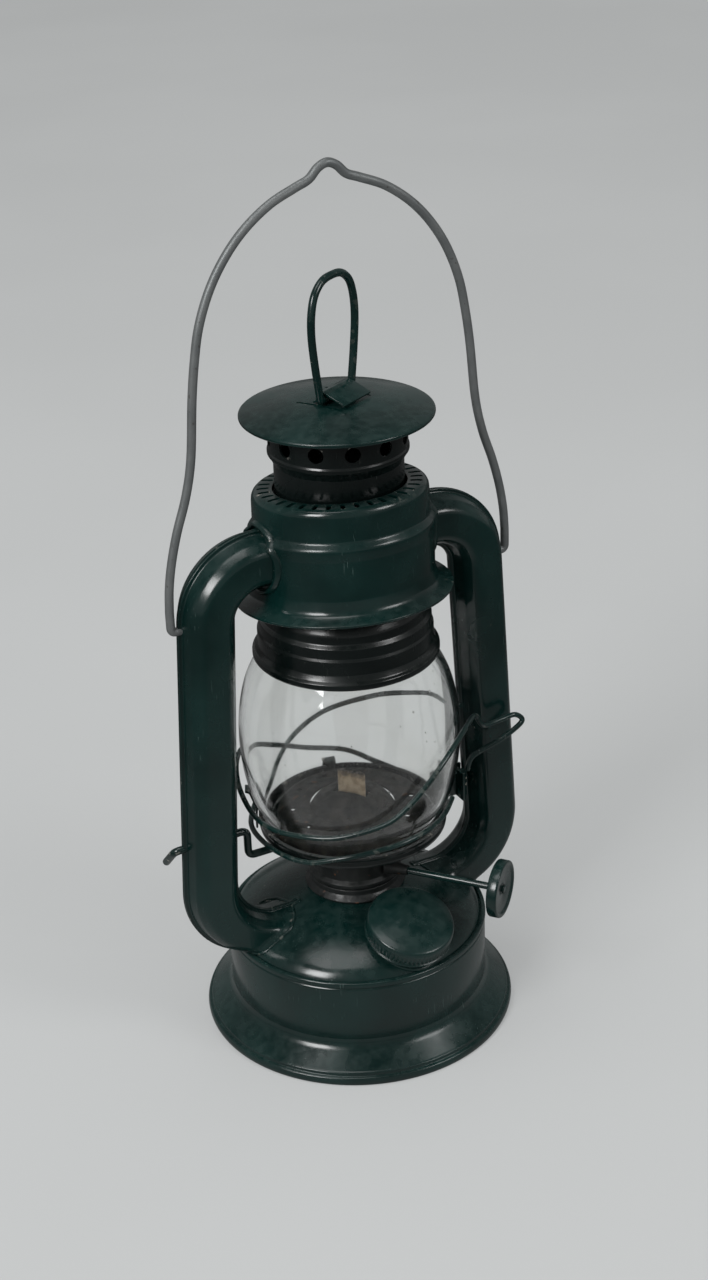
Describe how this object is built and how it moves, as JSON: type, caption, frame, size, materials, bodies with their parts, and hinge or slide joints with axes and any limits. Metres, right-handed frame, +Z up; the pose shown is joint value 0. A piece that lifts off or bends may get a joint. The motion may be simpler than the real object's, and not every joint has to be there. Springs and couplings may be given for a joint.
{
  "type": "kerosene lamp",
  "caption": "Tubular kerosene lantern with fount, burner, air tubes, lifting globe, sliding chimney and wire bail.",
  "frame": {"origin": "on the floor under the middle of the foot ring", "axes": "+Z up the lamp's own axis, X through the two air tubes with the lifting lever at -X, the filler cap at -Y"},
  "size_m": [0.1099, 0.0904, 0.2502],
  "materials": {
    "enamel": "glossy dark blue-green stove enamel on tinplate, rubbed through on edges",
    "black": "dark enamel, heat-dulled and sooty",
    "zinc": "galvanised wire, dull grey",
    "glass": "clear blown glass with seeds",
    "soot": "tinplate darkened by soot and rust",
    "tin": "bare tinplate",
    "cotton": "flat woven cotton, charred at the top",
    "cork": "pressed cork"
  },
  "bodies": {
    "frame": {"foot_ring": "enamel", "fount_shell": "enamel", "fount_bottom": "tin", "fount_divider": "tin", "filler_neck": "tin", "burner_collar": "soot", "burner_body": "soot", "burner_cone": "soot", "wick_tube": "tin", "shaft_bushing": "soot", "tube_left_front": "enamel", "tube_left_back": "enamel", "tube_right_front": "enamel", "tube_right_back": "enamel", "tube_collar_left": "enamel", "tube_collar_right": "enamel", "canopy": "enamel", "chimney_guide": "black"},
    "globe_carrier": {"globe_plate": "enamel", "globe_prong_left": "enamel", "globe_prong_back": "enamel", "globe_prong_right": "enamel", "guide_strap": "enamel", "guard_wire_front": "enamel", "guard_wire_back": "enamel", "globe_glass": "glass"},
    "chimney": {"chimney_tube": "black", "chimney_cap": "enamel", "cap_bridge": "enamel", "bell": "black", "bell_seat": "soot"},
    "lift_lever": {"lift_lever": "enamel"},
    "lift_ring": {"lift_ring": "enamel"},
    "bail": {"bail": "zinc"},
    "wick": {"wick": "cotton"},
    "wick_raiser": {"wick_shaft": "black", "wick_sprocket_inner": "tin", "wick_sprocket_outer": "tin", "wick_knob": "enamel"},
    "filler_gasket": {"filler_gasket": "cork"},
    "filler_cap": {"filler_cap": "enamel"}
  },
  "joints": [
    {"name": "globe_lift", "type": "slide", "parent": "frame", "child": "globe_carrier", "axis": [0, 0, 1], "range_m": [0, 0.0083]},
    {"name": "lever_turn", "type": "hinge", "parent": "frame", "child": "lift_lever", "pos_m": [0, 0, 0.0667], "axis": [-1, 0, 0], "range_deg": [0, 90]},
    {"name": "chimney_lift", "type": "slide", "parent": "globe_carrier", "child": "chimney", "axis": [0, 0, 1], "range_m": [0, 0.0065]},
    {"name": "ring_fold", "type": "hinge", "parent": "chimney", "child": "lift_ring", "pos_m": [0, 0, 0.18905], "axis": [0.8746, 0.4848, 0], "range_deg": [-75, 75]},
    {"name": "bail_swing", "type": "hinge", "parent": "frame", "child": "bail", "pos_m": [0, 0, 0.1326], "axis": [1, 0, 0], "range_deg": [-110, 110]},
    {"name": "wick_turn", "type": "hinge", "parent": "frame", "child": "wick_raiser", "pos_m": [-0.00332, -0.00274, 0.0492], "axis": [0.6361, -0.7716, 0], "range_deg": [-122, 87]},
    {"name": "wick_rise", "type": "slide", "parent": "frame", "child": "wick", "axis": [0, 0, 1], "range_m": [-0.0071, 0.0051]},
    {"name": "filler_rise", "type": "slide", "parent": "frame", "child": "filler_gasket", "axis": [0.0239, -0.3412, 0.9397], "range_m": [0, 0.0033]},
    {"name": "filler_turn", "type": "hinge", "parent": "filler_gasket", "child": "filler_cap", "pos_m": [0.00192, -0.02743, 0.03552], "axis": [0.0239, -0.3412, 0.9397], "range_deg": [0, 720]}
  ],
  "couplings": [
    {"joint": "lever_turn", "follows": "globe_lift", "rad_per_m": 189.25},
    {"joint": "wick_rise", "follows": "wick_turn", "m_per_rad": 0.0033},
    {"joint": "filler_rise", "follows": "filler_turn", "m_per_rad": 0.00025465}
  ]
}
